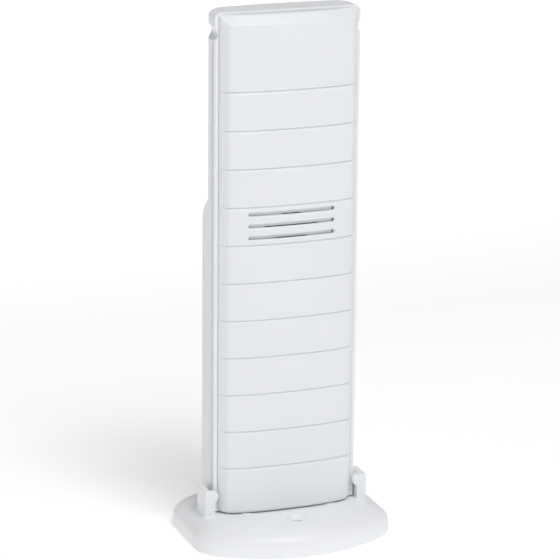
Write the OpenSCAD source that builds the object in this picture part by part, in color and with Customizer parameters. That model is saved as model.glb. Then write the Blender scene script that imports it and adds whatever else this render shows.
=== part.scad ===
// Outdoor temperature and humidity transmitter in a clip-in foot.
// Millimetres, +Z up. The origin is the centre of the foot's underside,
// and the louvred front cover faces -Y.

/* [Case] */
// Width of the case across its rim
case_w = 38.2; // [37.6:0.1:38.4]
// Height of the case, without the foot
case_h = 128.3; // [126:0.1:130]
// Thickness of the moulded case walls
wall = 1.5; // [1.2:0.1:1.8]
// Back of the upper case, measured from the centre of the foot
head_back = 7.2; // [6.8:0.1:8]
// Back of the battery bulge, measured from the centre of the foot
bulge_back = 14.3; // [14:0.1:15]
// Height at which the battery bulge starts to slope in
bulge_top = 83; // [80:0.5:86]

/* [Front cover] */
// Width of the louvred cover
cover_w = 36; // [35.6:0.1:36.2]
// How far the middle of the cover bows forward of its edges
cover_bow = 2.25; // [1.5:0.05:2.6]
// Thickness of the cover
cover_wall = 1.2; // [1:0.1:1.5]
// Distance from one louvre groove to the next
groove_pitch = 9.7; // [9:0.1:10]
// Number of louvre grooves
groove_count = 11; // [9:1:11]
// Depth of a louvre groove
groove_depth = 0.45; // [0.3:0.05:0.6]
// Length of the three air slots
slot_l = 22.6; // [16:0.1:26]
// Height of one air slot
slot_h = 0.95; // [0.8:0.05:1.4]
// Distance from one air slot to the next
slot_pitch = 3; // [2.6:0.1:3.4]

/* [Foot] */
// Width of the foot, from side to side
foot_w = 52; // [50:0.5:58]
// Depth of the foot, from front to back
foot_d = 45.2; // [44:0.2:50]
// Height of the foot's flat top
foot_h = 6.9; // [6.5:0.1:7]
// Radius of the foot's front and back edges, seen from above
foot_arc_r = 37; // [36:0.5:42]
// Radius of the foot's four corners
foot_corner_r = 8; // [6:0.5:9]
// Radius of a screw hole in the foot
screw_hole_r = 1.7; // [1.6:0.05:1.9]
// Distance between the two screw holes, from front to back
screw_spacing = 24.2; // [23:0.1:26]
// Height of the two clip ears above the foot's flat top
ear_h = 6.5; // [6:0.1:7]

/* [Batteries] */
// Diameter of a cell
cell_d = 14.5; // [14:0.1:14.5]
// Length of a cell, with its positive pip
cell_l = 50.5; // [50:0.1:50.5]

/* [Hidden] */
$fn = 64;
eps = 0.01;

// Heights
case_z = 7.4;                         // underside of the case
case_top = case_z + case_h;
first_groove_z = 19.3;                // lowest louvre groove
slot_z = 82.4;                        // middle air slot of the cover
notch_z = 130.45;                     // pry notches in the sides
bay_z = 12.4;                         // floor of the battery bay
bay_top = 71.6;                       // ceiling of the battery bay
floor_t = 1.2;                        // thickness of the bay's floor and ceiling

// Depths, all as Y
cover_edge_y = -4.6;                  // where the cover's bow starts
rim_y = -2.5;                         // front face of the rim
seam_y = -1.2;                        // where the two case halves meet
shadow_y = -0.3;                      // back of the shadow groove behind the seam
plate_t = 1.2;                        // thickness of the front case's plate
plate_back = rim_y + plate_t;
head_corner_r = 5;
head_corner_y = 1.6;
bulge_corner_r = bulge_back - 5.1;
bulge_corner_y = 5.1;
part_gap = 0.3;                       // between parts that move on each other

// Circuit board
board_y = 1.2;                        // front face
board_t = 1.2;
board_w = 31.6;
board_z = 77;
board_top = 126.5;
board_back = board_y + board_t;
board_screw_at = [[-12.8, 80.2], [12.8, 80.2], [-12.8, 123.2], [12.8, 123.2]];

// Battery bay
cell_r = cell_d / 2;
cell_x = 7.9;
cell_y = bulge_back - wall - 0.35 - cell_r;
pip_l = 1;
contact_t = 0.4;
plate_w = 9.6;                        // width of a contact plate
spring_l = bay_top - bay_z - 2 * contact_t - cell_l;
spring_wire_r = 0.4;
lead_r = 0.6;
lead_y = board_back + lead_r;
lead_x = 8.6;

// Battery door
door_w = 30.4;
door_z = 14.6;
door_top = 69.6;

// Screws
case_screw_at = [[-9.8, 129.6], [9.8, 129.6]];

// ---- small helpers ----

// A bar with round ends, lying along X, extruded along Y
module rounded_bar(length, height, y0, y1) {
    r = height / 2;
    translate([0, y1, 0]) rotate([90, 0, 0]) linear_extrude(y1 - y0) {
        square([length - height, height], center = true);
        for (s = [-1, 1]) translate([s * (length / 2 - r), 0]) circle(r, $fn = 32);
    }
}

// An upright rectangle with rounded corners, extruded along Y
module rounded_plate(w, z0, z1, r, y0, y1) {
    translate([0, y1, 0]) rotate([90, 0, 0]) linear_extrude(y1 - y0) {
        translate([-w / 2 + r, z0]) square([w - 2 * r, z1 - z0]);
        translate([-w / 2, z0 + r]) square([w, z1 - z0 - 2 * r]);
        for (x = [-w / 2 + r, w / 2 - r], z = [z0 + r, z1 - r]) translate([x, z]) circle(r);
    }
}

// A cylinder along +Y
module y_rod(r, x, z, y0, y1) {
    translate([x, y1, z]) rotate([90, 0, 0]) cylinder(r = r, h = y1 - y0);
}

function arc(cx, cy, r, a0, a1, n) =
    [for (i = [0:n]) let (a = a0 + (a1 - a0) * i / n) [cx + r * cos(a), cy + r * sin(a)]];

// A wire coil from z = 0 to h whose radius goes from r0 to r1
module coil(r0, r1, h, turns, wire_r) {
    steps = 18;
    sides = 6;
    count = steps * turns;
    rise = h - 2 * wire_r;
    points = [for (i = [0:count], j = [0:sides - 1])
        let (a = 360 * i / steps,
             b = 360 * j / sides,
             r = r0 + (r1 - r0) * i / count + wire_r * cos(b))
        [r * cos(a), r * sin(a), wire_r + rise * i / count + wire_r * sin(b)]];
    quads = [for (i = [0:count - 1], j = [0:sides - 1])
        let (k = (j + 1) % sides)
        [i * sides + j, (i + 1) * sides + j, (i + 1) * sides + k, i * sides + k]];
    polyhedron(points, concat(quads,
        [[for (j = [0:sides - 1]) j]],
        [[for (j = [sides - 1:-1:0]) count * sides + j]]), convexity = 8);
}

// ---- foot ----

// Outline of the foot, moved in by inset: two wide arcs, four corners, straight sides
function foot_outline(inset) =
    let (xc = foot_w / 2 - foot_corner_r,
         turn = asin(xc / (foot_arc_r - foot_corner_r)),
         arc_y = foot_arc_r - foot_d / 2,
         yc = (foot_arc_r - foot_corner_r) * cos(turn) - arc_y,
         big = foot_arc_r - inset,
         small = foot_corner_r - inset)
    concat(arc(0, arc_y, big, 270 - turn, 270 + turn, 20),
           arc(xc, -yc, small, 270 + turn, 360, 6),
           arc(xc, yc, small, 0, 90 - turn, 6),
           arc(0, -arc_y, big, 90 - turn, 90 + turn, 20),
           arc(-xc, yc, small, 90 + turn, 180, 6),
           arc(-xc, -yc, small, 180, 270 - turn, 6));

module foot_slice(z, inset) {
    translate([0, 0, z]) linear_extrude(eps) polygon(foot_outline(inset));
}

foot_edge_h = 2.7;
foot_skin = 2;
foot_shoulder = 6.6;
ear_x = case_w / 2 + 0.2;
ear_t = 2.1;
ear_y0 = -3.95;
ear_y1 = 2.45;
nose_r = 1.5;
nose_z = foot_h + 4.9;

module foot_shell() {
    rise = foot_h - foot_edge_h - eps;
    difference() {
        hull() {
            foot_slice(0, 0.3);
            foot_slice(0.4, 0);
            for (a = [0:15:90])
                foot_slice(foot_edge_h + rise * sin(a), 0.1 + foot_shoulder * (1 - cos(a)));
        }
        hull() {
            foot_slice(-1, foot_skin + 0.2);
            foot_slice(foot_edge_h - 0.6, foot_skin + 0.2);
            foot_slice(foot_h - foot_skin, foot_skin + foot_shoulder - 1);
        }
    }
}

// Ribs under the foot, kept off the table
module foot_ribs() {
    rib_t = 1;
    rib_z = 0.6;
    rib_h = foot_h - foot_skin / 2 - rib_z;
    for (x = [-15, -5.5, 5.5, 15]) {
        reach = 17.6 - 0.14 * abs(x);
        translate([x - rib_t / 2, -reach, rib_z]) cube([rib_t, 2 * reach, rib_h]);
    }
    for (y = [-6, 6]) translate([-21.6, y - rib_t / 2, rib_z]) cube([43.2, rib_t, rib_h]);
}

// One clip ear: an upright with a lead-in slope, and a nose that runs in front of the rim
module ear() {
    top = foot_h + ear_h;
    slope = 1.1;
    translate([0, ear_y1, 0]) rotate([90, 0, 0]) linear_extrude(ear_y1 - ear_y0)
        polygon([[ear_x, foot_h - 1], [ear_x + ear_t, foot_h - 1], [ear_x + ear_t, top],
                 [ear_x + slope, top], [ear_x, top - slope]]);
    intersection() {
        y_rod(nose_r, ear_x + 0.45, nose_z, ear_y0, rim_y - part_gap);
        translate([ear_x - nose_r, ear_y0 - 1, nose_z - 2 * nose_r])
            cube([nose_r + ear_t / 2, 4, 4 * nose_r]);
    }
}

module stand() {
    color("white") difference() {
        union() {
            foot_shell();
            foot_ribs();
            for (s = [-1, 1]) {
                translate([0, s * screw_spacing / 2, 0])
                    cylinder(r = 4.2, h = foot_h - foot_skin / 2);
                // rests under the front edge of the case
                translate([s * 11.3 - 1.2, -8, foot_h - 0.5]) cube([2.4, 6, 0.7]);
            }
            ear();
            mirror([1, 0, 0]) ear();
            // locating tongue that enters the case's underside
            translate([-6, 1.5, foot_h - 1]) cube([12, 4, 4.6]);
        }
        for (s = [-1, 1]) translate([0, s * screw_spacing / 2, 0]) {
            translate([0, 0, -1]) cylinder(r = screw_hole_r, h = foot_h + 2);
            translate([0, 0, foot_h - 1.1])
                cylinder(r1 = screw_hole_r, r2 = screw_hole_r + 1.2, h = 1.2);
        }
    }
}

// ---- front cover ----

// Y of the cover's front face at x, moved in by inset
function bow_y(x, inset) =
    let (t = pow(min(1, abs(x) / 17.5), 2))
    cover_edge_y + inset - cover_bow * (0.36 * (1 - t) + 0.64 * (1 - t * t));

function cover_plan(inset, back) =
    let (hw = cover_w / 2 - inset, n = 28)
    concat([[-hw, back]],
           [for (i = [0:n]) let (x = -hw + 2 * hw * i / n) [x, bow_y(x, inset)]],
           [[hw, back]]);

cover_z0 = case_z - 0.25;              // the cover's lower edge hangs just below the case
cover_z1 = case_top - 0.4;
cover_back = rim_y - part_gap;
bevel_h = 2.5;
bevel_in = 2.1;

module cover_shell() {
    difference() {
        union() {
            translate([0, 0, cover_z0]) linear_extrude(cover_z1 - bevel_h - cover_z0)
                polygon(cover_plan(0, cover_back));
            hull() {
                translate([0, 0, cover_z1 - bevel_h - eps]) linear_extrude(eps)
                    polygon(cover_plan(0, cover_back));
                translate([0, bevel_in, cover_z1 - eps]) linear_extrude(eps)
                    polygon(cover_plan(0, cover_back - bevel_in));
            }
        }
        translate([0, 0, cover_z0 + cover_wall])
            linear_extrude(cover_z1 - bevel_h - cover_z0 - 1.6 * cover_wall)
            polygon(cover_plan(cover_wall, 1));
    }
}

module louvre_groove(z) {
    translate([0, 0, z - 0.35]) linear_extrude(0.7) difference() {
        translate([-20, -12]) square([40, 12 + cover_edge_y + 0.6]);
        polygon(cover_plan(groove_depth, 0));
    }
}

// Snap legs that hold the cover in the front case
leg_at = [[-14.5, 27], [14.5, 27], [-14.5, 113], [14.5, 113]];
leg_w = 1.2;
leg_h = 5;
leg_back = plate_back + 1;

module front_cover() {
    color("white") {
        difference() {
            cover_shell();
            for (i = [0:groove_count - 1]) louvre_groove(first_groove_z + groove_pitch * i);
            for (i = [-1:1]) translate([0, 0, slot_z + i * slot_pitch])
                rounded_bar(slot_l, slot_h, -9, -3.5);
        }
        for (p = leg_at) translate([p[0] - leg_w / 2, cover_edge_y - 0.2, p[1] - leg_h / 2])
            cube([leg_w, leg_back - cover_edge_y + 0.2, leg_h]);
    }
}

// ---- front case ----

vent_half = [4.6, 7.5, 2.9];          // half length of each inner slot, from the lowest
vent_drop = 1.1;                      // the inner slots sit this much lower than the cover's
vent_box_y = -4.2;
cell_box_y = -3.7;                    // front of the raised housing over the cells
rim_corner_r = 1.8;
low_corner_r = 0.5;

module front_case() {
    color("white") difference() {
        union() {
            rounded_plate(case_w, case_z, case_top, rim_corner_r, rim_y, plate_back);
            // short wall that meets the rear case
            difference() {
                union() {
                    rounded_plate(case_w, case_z, case_top, rim_corner_r, rim_y, seam_y - 0.02);
                    // the lower corners are nearly square
                    rounded_plate(case_w, case_z, case_z + 6, low_corner_r, rim_y, seam_y - 0.02);
                }
                rounded_plate(case_w - 2 * wall, case_z + wall, case_top - wall, 1,
                              rim_y + eps, 1);
            }
            // raised box around the inner vent slots
            rounded_plate(20.5, slot_z - 8, slot_z + 5.4, 0.8, vent_box_y, rim_y + 0.2);
            // raised housing over the cells
            rounded_plate(26.4, bay_z, bay_top + 1, 1, cell_box_y, rim_y + 0.2);
            // posts for the board and the case screws
            for (p = board_screw_at) y_rod(2, p[0], p[1], plate_back - 0.2, board_y);
            for (p = case_screw_at) y_rod(2.4, p[0], p[1], plate_back - 0.2, 3.2);
        }
        rounded_plate(18.1, slot_z - 6.8, slot_z + 4.2, 0.5, vent_box_y + 1.1, 0);
        rounded_plate(24, bay_z + 0.4, bay_top - 0.2, 0.5, cell_box_y + plate_t, 0);
        for (i = [-1:1]) translate([0, 0, slot_z - vent_drop + i * slot_pitch])
            rounded_bar(2 * vent_half[i + 1], 1, vent_box_y - 1, 0);
        for (p = leg_at)
            translate([p[0] - leg_w / 2 - part_gap, rim_y - 1, p[1] - leg_h / 2 - part_gap])
                cube([leg_w + 2 * part_gap, 3, leg_h + 2 * part_gap]);
        for (p = board_screw_at) y_rod(0.8, p[0], p[1], -0.6, board_y + 1);
        for (p = case_screw_at) y_rod(1, p[0], p[1], -0.6, 4);
        pry_notches();
    }
}

// Round cutters at the sides, leaning inward towards the rear corners
module pry_notches() {
    deep = 0.85;
    half = 1.6;
    lean = 7;
    r = (half * half + deep * deep) / (2 * deep);
    for (s = [-1, 1]) translate([s * (case_w / 2 + r - deep), rim_y, notch_z])
        rotate([-90, 0, s * lean]) translate([0, 0, -2]) cylinder(r = r, h = 16);
}

// ---- rear case ----

// The quarter of a round corner that lies outside and behind its centre
module back_corner(side, xc, yc, r) {
    intersection() {
        translate([side * xc, yc]) circle(r);
        translate([side > 0 ? xc - eps : -xc - 2 * r + eps, yc]) square(2 * r);
    }
}

module head_plan(inset) {
    hw = case_w / 2 - inset;
    xc = case_w / 2 - head_corner_r;
    bow_r = 170;
    translate([-hw, seam_y]) square([2 * hw, head_corner_y - seam_y]);
    for (s = [-1, 1]) back_corner(s, xc, head_corner_y, head_corner_r - inset);
    intersection() {
        translate([-xc, seam_y]) square([2 * xc, 12]);
        translate([0, head_back - inset - bow_r]) circle(bow_r, $fn = 256);
    }
}

module bulge_plan(inset) {
    hw = case_w / 2 - inset;
    xc = case_w / 2 - bulge_corner_r;
    translate([-hw, seam_y]) square([2 * hw, bulge_corner_y - seam_y]);
    for (s = [-1, 1]) back_corner(s, xc, bulge_corner_y, bulge_corner_r - inset);
    translate([-xc, seam_y]) square([2 * xc, bulge_back - inset - seam_y]);
}

// Solid shape of the rear case, moved in by inset
module rear_form(inset, z0, z1) {
    slope_h = 4.5;
    low = bulge_top - inset * 0.4;
    translate([0, 0, z0]) linear_extrude(z1 - z0) head_plan(inset);
    translate([0, 0, z0]) linear_extrude(low - z0) bulge_plan(inset);
    hull() {
        translate([0, 0, low - eps]) linear_extrude(eps) bulge_plan(inset);
        translate([0, 0, low + slope_h]) linear_extrude(eps) head_plan(inset);
    }
}

module rear_case() {
    color("white") difference() {
        union() {
            difference() {
                rear_form(0, case_z, case_top);
                rear_form(wall, case_z + wall, case_top - wall);
                translate([-case_w / 2 + wall, seam_y - 1, case_z + wall])
                    cube([case_w - 2 * wall, 1.5, case_h - 2 * wall]);
            }
            // floor, ceiling and middle ribs of the battery bay
            translate([0, 0, bay_z - floor_t]) linear_extrude(floor_t) bulge_plan(wall / 2);
            translate([0, 0, bay_top]) linear_extrude(floor_t) bulge_plan(wall / 2);
            // pockets for the case screws
            for (p = case_screw_at) y_rod(3.5, p[0], p[1], 3.3, 6.6);
        }
        // opening for the battery door
        translate([-door_w / 2 - 0.2, cell_y, door_z - 0.2])
            cube([door_w + 0.4, 20, door_top - door_z + 0.4]);
        // thumb recess above the door
        translate([0, bulge_back + 8.4, door_top]) rotate([0, 90, 0])
            cylinder(r = 9, h = 9, center = true);
        // socket for the foot's tongue
        translate([-6 - part_gap, 1.5 - part_gap, case_z - 1])
            cube([12 + 2 * part_gap, 4 + 2 * part_gap, 3]);
        // leads pass through the bay's ceiling
        for (s = [-1, 1]) translate([s * lead_x, lead_y, bay_top - 1])
            cylinder(r = lead_r + 0.2, h = 3);
        for (p = case_screw_at) {
            y_rod(1.3, p[0], p[1], 2, 9);
            y_rod(2.3, p[0], p[1], 4.6, 9);
        }
        // shadow groove behind the rim, up to the pry notches
        for (s = [-1, 1]) translate([s * (case_w / 2 + 0.5) - 1, seam_y - 1, case_z - 1])
            cube([2, 1 + shadow_y - seam_y, notch_z - case_z + 1]);
        pry_notches();
    }
}

// ---- battery door ----

module battery_door() {
    inner_y = bulge_back - wall;
    color("white") {
        difference() {
            intersection() {
                translate([0, 0, door_z]) linear_extrude(door_top - door_z) difference() {
                    bulge_plan(0);
                    bulge_plan(wall);
                }
                translate([-door_w / 2, cell_y + 1, door_z - 1])
                    cube([door_w, 20, door_top - door_z + 2]);
            }
            // grip ribs are left between these grooves
            for (i = [0:4]) translate([0, bulge_back, door_top - 4 - 1.6 * i])
                rotate([0, 90, 0]) cylinder(r = 0.4, h = 12, center = true, $fn = 24);
            // cuts that free the latch finger
            for (s = [-1, 1]) translate([s * 7.6 - 0.4, 10, door_top - 12]) cube([0.8, 6, 13]);
        }
        // two tabs that hook behind the wall under the door, between the cells
        for (s = [-1, 1]) translate([s * 2.2 - 1.1, inner_y - 1.3, 0]) {
            translate([0, 0, door_z - 1]) cube([2.2, 1, 2.2]);
            translate([0, 0, door_z + 0.2]) cube([2.2, 1.5, 1]);
        }
    }
}

// ---- batteries and contacts ----

// A cell with its positive pip up, standing at z = 0
module cell() {
    body = cell_l - pip_l;
    rotate_extrude() polygon([[0, 0], [cell_r - 1.4, 0], [cell_r - 1, 0.3], [cell_r - 0.5, 0.3],
        [cell_r, 0.8], [cell_r, body - 0.8], [cell_r - 0.5, body - 0.2], [cell_r - 1.6, body],
        [2.75, body], [2.6, body + pip_l], [0, body + pip_l]]);
}

module battery_left() {
    color("gold") translate([-cell_x, cell_y, bay_z + contact_t + spring_l]) cell();
}

module battery_right() {
    color("gold") translate([cell_x, cell_y, bay_z + contact_t + cell_l]) mirror([0, 0, 1]) cell();
}

// A nickel plate against one end of the bay, from x0 to x1
module end_plate(x0, x1, z) {
    translate([x0, cell_y - plate_w / 2, z]) cube([x1 - x0, plate_w, contact_t]);
}

module plus_contact() {
    color("silver") end_plate(-cell_x - plate_w / 2, -cell_x + plate_w / 2, bay_top - contact_t);
}

module minus_contact() {
    color("silver") end_plate(cell_x - plate_w / 2, cell_x + plate_w / 2, bay_top - contact_t);
}

module link_contact() {
    color("silver") end_plate(-cell_x - plate_w / 2, cell_x + plate_w / 2, bay_z);
}

module minus_spring() {
    color("silver") translate([cell_x, cell_y, bay_top - contact_t]) mirror([0, 0, 1])
        coil(4.2, 2.8, spring_l, 6, spring_wire_r);
}

module link_spring() {
    color("silver") translate([-cell_x, cell_y, bay_z + contact_t])
        coil(4.2, 2.8, spring_l, 6, spring_wire_r);
}

module lead(side) {
    translate([side * lead_x, lead_y, bay_top]) cylinder(r = lead_r, h = 8, $fn = 24);
}

module positive_lead() {
    color("red") lead(-1);
}

module negative_lead() {
    color("black") lead(1);
}

// ---- electronics ----

module circuit_board() {
    color("green") difference() {
        translate([-board_w / 2, board_y, board_z]) cube([board_w, board_t, board_top - board_z]);
        for (p = board_screw_at) y_rod(1.2, p[0], p[1], 0, 4);
    }
}

// A flat chip on the back (side = 1) or the front (side = -1) of the board
module chip(x, z, w, h, t, side) {
    y = side > 0 ? board_back : board_y - t;
    translate([x - w / 2, y, z - h / 2]) cube([w, t, h]);
}

module humidity_sensor() {
    color("white") difference() {
        chip(0, slot_z - vent_drop, 5, 5, 1.8, -1);
        y_rod(1, 0, slot_z - vent_drop, -2, board_y - 0.8);
    }
}

// A bead on two wires that bend back to the board
module thermistor() {
    bead_y = board_y - 1.5;
    leg_l = 4.5;
    leg_r = 0.25;
    bend = 0.8;
    color("tan") translate([-7, bead_y, slot_z - vent_drop]) {
        rotate_extrude() polygon([[0, -1.3], [0.7, -1.1], [1.1, -0.4], [1.1, 0.4], [0.7, 1], [0, 1.2]]);
        for (s = [-1, 1]) translate([s * 0.6, 0, -leg_l]) {
            translate([0, 0, bend]) cylinder(r = leg_r, h = leg_l - bend, $fn = 24);
            translate([0, bend, bend]) rotate([-90, 0, -90]) rotate_extrude(angle = 90)
                translate([bend, 0]) circle(leg_r, $fn = 24);
            y_rod(leg_r, 0, 0, bend, board_y - bead_y, $fn = 24);
        }
    }
}

module processor_blob() {
    color("black") translate([0, board_back, 96]) rotate([-90, 0, 0])
        rotate_extrude() polygon([[0, 0], [6, 0], [5.6, 0.7], [4.4, 1.3], [2.4, 1.7], [0, 1.8]]);
}

module radio_chip() {
    color("black") chip(-5, 114, 5, 5, 1, 1);
}

module radio_crystal() {
    color("silver") translate([0, board_back, 0]) mirror([0, 1, 0])
        rounded_plate(10.6, 105.1, 108.7, 1.79, -2.6, 0);
}

module clock_crystal() {
    color("silver") translate([11, board_back + 1.05, 88]) cylinder(r = 1, h = 6, $fn = 32);
}

module buffer_capacitor() {
    color("black") translate([-5, board_back + 3.2, 81.4]) rotate([0, 90, 0])
        cylinder(r = 3.1, h = 11);
}

module small_capacitors() {
    color("tan") for (p = [[-12, 90], [-12, 93], [-9, 104], [9.5, 99], [9.5, 102], [5, 119],
                           [8, 119], [-12, 118], [6, 112]])
        chip(p[0], p[1], 1.6, 0.8, 0.8, 1);
}

module small_resistors() {
    color("black") for (p = [[-12, 96], [-12, 99], [-12, 102], [13, 96], [13, 99], [9, 112],
                             [1.5, 119], [-1.5, 119]])
        chip(p[0], p[1], 1.6, 0.8, 0.5, 1);
}

// A stiff wire that rises from the board's top corner and runs across under the lid
module antenna_wire() {
    r = 0.4;
    y = board_back + r;
    bend = 2;
    low_z = 119;
    high_z = 133;
    start_x = 15.2;
    end_x = -11;
    color("orange") {
        translate([start_x, y, low_z]) cylinder(r = r, h = high_z - bend - low_z, $fn = 24);
        translate([start_x - bend, y, high_z - bend]) rotate([90, 0, 0])
            rotate_extrude(angle = 90) translate([bend, 0]) circle(r, $fn = 24);
        translate([end_x, y, high_z]) rotate([0, 90, 0])
            cylinder(r = r, h = start_x - bend - end_x, $fn = 24);
    }
}

// ---- screws ----

// A pan-head screw along -Y, with the underside of its head at y = 0
module pan_screw(head_r, head_t, shank_r, shank_l) {
    difference() {
        rotate([90, 0, 0]) {
            translate([0, 0, -head_t]) cylinder(r1 = head_r * 0.8, r2 = head_r, h = head_t);
            cylinder(r = shank_r, h = shank_l);
        }
        for (a = [0, 90]) rotate([0, a, 0]) translate([-head_r * 0.55, head_t * 0.4, -0.2])
            cube([head_r * 1.1, head_t, 0.4]);
    }
}

module case_screws() {
    color("silver") for (p = case_screw_at) translate([p[0], 4.6, p[1]])
        pan_screw(2.1, 1.3, 0.98, 4.8);
}

module board_screws() {
    color("silver") for (p = board_screw_at) translate([p[0], board_back, p[1]])
        pan_screw(1.8, 1, 0.78, 2.8);
}

stand();
front_cover();
front_case();
rear_case();
battery_door();
battery_left();
battery_right();
plus_contact();
minus_contact();
link_contact();
minus_spring();
link_spring();
circuit_board();
humidity_sensor();
thermistor();
processor_blob();
radio_chip();
radio_crystal();
clock_crystal();
buffer_capacitor();
small_capacitors();
small_resistors();
antenna_wire();
positive_lead();
negative_lead();
case_screws();
board_screws();
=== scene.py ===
import math

import bmesh
import bpy
from mathutils import Matrix, Vector


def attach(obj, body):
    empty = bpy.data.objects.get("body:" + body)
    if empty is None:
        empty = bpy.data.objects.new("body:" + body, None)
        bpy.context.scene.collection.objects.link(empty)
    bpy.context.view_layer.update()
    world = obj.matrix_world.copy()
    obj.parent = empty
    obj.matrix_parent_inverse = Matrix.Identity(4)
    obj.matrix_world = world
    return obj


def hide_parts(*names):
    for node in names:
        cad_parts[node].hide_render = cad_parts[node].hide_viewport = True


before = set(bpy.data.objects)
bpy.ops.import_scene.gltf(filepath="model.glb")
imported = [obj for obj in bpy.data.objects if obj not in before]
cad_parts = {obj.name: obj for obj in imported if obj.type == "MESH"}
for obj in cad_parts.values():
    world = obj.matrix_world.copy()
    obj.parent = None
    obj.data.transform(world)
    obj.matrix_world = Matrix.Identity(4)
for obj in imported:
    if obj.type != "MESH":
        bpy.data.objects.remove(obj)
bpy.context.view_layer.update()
mm = 0.001

# ---- Foot ------------------------------------------------------------------------------------
# One moulding of white ABS that stands on a shelf or is screwed to a wall. Two clip ears hold the
# case at its sides, two small pads carry its front edge, and a tongue enters its underside.

foot_w, foot_d, foot_top = 52.0, 45.2, 6.9
foot_arc_r, foot_corner_r = 37.0, 8.0
edge_h, shoulder_w = 2.7, 6.6
skin = 2.0
screw_y = 12.1
screw_hole_r = 1.7
ear_x, ear_t = 19.3, 2.6
ear_front, ear_back = -4.35, 2.45
ear_top, ear_slope = 13.4, 1.1
nose_x, nose_z, nose_r = 19.75, 11.8, 1.5


def placed(name, data):
    """Puts a mesh, a lamp or the camera into the scene."""
    made = bpy.data.objects.new(name, data)
    bpy.context.scene.collection.objects.link(made)
    return made


def moulding(name, rings):
    """A closed solid skinned over rings of points in millimetres, with a flat face at each end."""
    mesh = bpy.data.meshes.new(name)
    bm = bmesh.new()
    rows = [[bm.verts.new(Vector(p) * mm) for p in ring] for ring in rings]
    for low, high in zip(rows, rows[1:]):
        for i in range(len(low)):
            j = (i + 1) % len(low)
            bm.faces.new((low[i], low[j], high[j], high[i]))
    bm.faces.new(list(reversed(rows[0])))
    bm.faces.new(rows[-1])
    bmesh.ops.remove_doubles(bm, verts=bm.verts, dist=0.0005 * mm)
    bmesh.ops.recalc_face_normals(bm, faces=bm.faces)
    bm.to_mesh(mesh)
    bm.free()
    return placed(name, mesh)


def combine(piece, tools, operation):
    """Applies one boolean per tool and removes the tools."""
    for tool in tools:
        step = piece.modifiers.new("step", "BOOLEAN")
        step.solver = "MANIFOLD"
        step.operation = operation
        step.object = tool
        shaped = bpy.data.meshes.new_from_object(
            piece.evaluated_get(bpy.context.evaluated_depsgraph_get()))
        piece.modifiers.clear()
        piece.data = shaped
        bpy.data.objects.remove(tool)
    return piece


def weld(piece, *tools):
    return combine(piece, tools, "UNION")


def carve(piece, *tools):
    return combine(piece, tools, "DIFFERENCE")


def block(x0, x1, y0, y1, z0, z1, edge=0.0):
    """A box between two corners, with its upright edges and its two ends eased by edge."""
    def ring(z, inset):
        c = edge * 0.7
        a, b, d, e = x0 + inset, x1 - inset, y0 + inset, y1 - inset
        if edge == 0:
            return [(a, d, z), (b, d, z), (b, e, z), (a, e, z)]
        return [(a + c, d, z), (b - c, d, z), (b, d + c, z), (b, e - c, z),
                (b - c, e, z), (a + c, e, z), (a, e - c, z), (a, d + c, z)]
    if edge == 0:
        return moulding("block", [ring(z0, 0), ring(z1, 0)])
    return moulding("block", [ring(z0, edge), ring(z0 + edge * 0.3, edge * 0.3), ring(z0 + edge, 0),
                              ring(z1 - edge, 0), ring(z1 - edge * 0.3, edge * 0.3), ring(z1, edge)])


def turned(profile, centre, axis="Z", count=48):
    """A lathed solid: profile is a list of (radius, height) pairs, turned round an axis."""
    def place(r, h, a):
        u, v = r * math.cos(a), r * math.sin(a)
        p = {"Z": (u, v, h), "Y": (v, h, u), "X": (h, u, v)}[axis]
        return (centre[0] + p[0], centre[1] + p[1], centre[2] + p[2])
    angles = [2 * math.pi * i / count for i in range(count)]
    return moulding("turned", [[place(r, h, a) for a in angles] for r, h in profile])


def arc(cx, cy, r, a0, a1, n):
    """Points on an arc, with the angles in degrees."""
    turn = [math.radians(a0 + (a1 - a0) * i / n) for i in range(n + 1)]
    return [(cx + r * math.cos(a), cy + r * math.sin(a)) for a in turn]


def foot_outline(z, inset):
    """The oval: two wide arcs joined by four corners and two short straight sides."""
    xc = foot_w / 2 - foot_corner_r
    turn = math.degrees(math.asin(xc / (foot_arc_r - foot_corner_r)))
    arc_y = foot_arc_r - foot_d / 2
    yc = (foot_arc_r - foot_corner_r) * math.cos(math.radians(turn)) - arc_y
    big, small = foot_arc_r - inset, foot_corner_r - inset
    flat = (arc(0, arc_y, big, 270 - turn, 270 + turn, 48)
            + arc(xc, -yc, small, 270 + turn, 360, 12)[1:]
            + arc(xc, yc, small, 0, 90 - turn, 12)
            + arc(0, -arc_y, big, 90 - turn, 90 + turn, 48)[1:]
            + arc(-xc, yc, small, 90 + turn, 180, 12)[1:]
            + arc(-xc, -yc, small, 180, 270 - turn, 12)[:-1])
    return [(x, y, z) for x, y in flat]


def fresh_paint(name):
    """A new material: itself, its node tree, its shader and the coordinates its textures follow."""
    material = bpy.data.materials.new(name)
    material.use_nodes = True
    tree = material.node_tree
    place = tree.nodes.new("ShaderNodeTexCoord").outputs["Object"]
    return material, tree, tree.nodes["Principled BSDF"], place


def speckle(tree, place, scale, detail):
    """A noise over the piece, in cells per metre."""
    made = tree.nodes.new("ShaderNodeTexNoise")
    made.inputs["Scale"].default_value = scale
    made.inputs["Detail"].default_value = detail
    tree.links.new(place, made.inputs["Vector"])
    return made.outputs["Fac"]


def spread(tree, source, low, high, socket, edge=0.3):
    """Feeds a shader socket with a noise that is spread between two colours."""
    made = tree.nodes.new("ShaderNodeValToRGB")
    for element, position, colour in zip(made.color_ramp.elements, (edge, 1 - edge), (low, high)):
        element.position = position
        element.color = (*colour, 1)
    tree.links.new(source, made.inputs["Fac"])
    tree.links.new(made.outputs["Color"], socket)


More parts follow.
